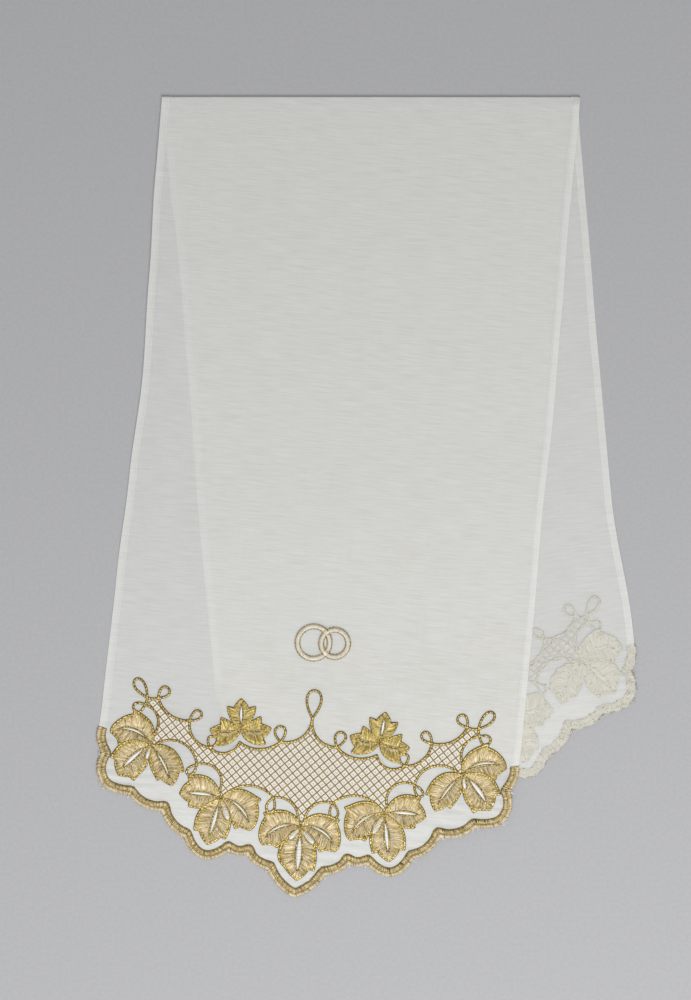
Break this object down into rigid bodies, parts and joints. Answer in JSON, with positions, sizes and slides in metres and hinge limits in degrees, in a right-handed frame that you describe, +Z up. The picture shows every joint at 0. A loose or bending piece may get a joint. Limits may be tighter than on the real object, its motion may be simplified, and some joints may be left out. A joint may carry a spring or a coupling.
{
  "type": "folded wedding towel",
  "caption": "Long white linen wedding towel folded once and laid flat, both ends scalloped and embroidered in gold with leaves, vines and interlocked rings.",
  "frame": {"origin": "centre of the folded towel's bounding box, on the surface that it lies on", "axes": "+X across the towel, +Y from the embroidered ends towards the fold, +Z up from the surface"},
  "size_m": [0.4842, 0.7236, 0.0054],
  "materials": {
    "linen": "plain-woven white linen, sheer, matte, with slubs across the cloth",
    "gold_thread": "satin-stitched metallic gold thread, glossy along the stitches",
    "pale_gold_thread": "paler metallic gold thread, more openly stitched so that the linen shows between"
  },
  "bodies": {
    "root": {"towel_cloth": "linen", "front_scalloped_edge": "gold_thread", "front_rings": "pale_gold_thread", "front_upper_vine": "gold_thread", "front_outer_vine_left": "gold_thread", "front_outer_vine_right": "gold_thread", "front_inner_vine_left": "gold_thread", "front_inner_vine_right": "gold_thread", "front_leaf_centre": "pale_gold_thread", "front_leaf_inner_left": "pale_gold_thread", "front_leaf_inner_right": "pale_gold_thread", "front_leaf_outer_left": "pale_gold_thread", "front_leaf_outer_right": "pale_gold_thread", "front_leaf_small_left": "pale_gold_thread", "front_leaf_small_right": "pale_gold_thread", "back_scalloped_edge": "gold_thread", "back_rings": "pale_gold_thread", "back_upper_vine": "gold_thread", "back_outer_vine_left": "gold_thread", "back_outer_vine_right": "gold_thread", "back_inner_vine_left": "gold_thread", "back_inner_vine_right": "gold_thread", "back_leaf_centre": "pale_gold_thread", "back_leaf_inner_left": "pale_gold_thread", "back_leaf_inner_right": "pale_gold_thread", "back_leaf_outer_left": "pale_gold_thread", "back_leaf_outer_right": "pale_gold_thread", "back_leaf_small_left": "pale_gold_thread", "back_leaf_small_right": "pale_gold_thread"}
  },
  "joints": []
}
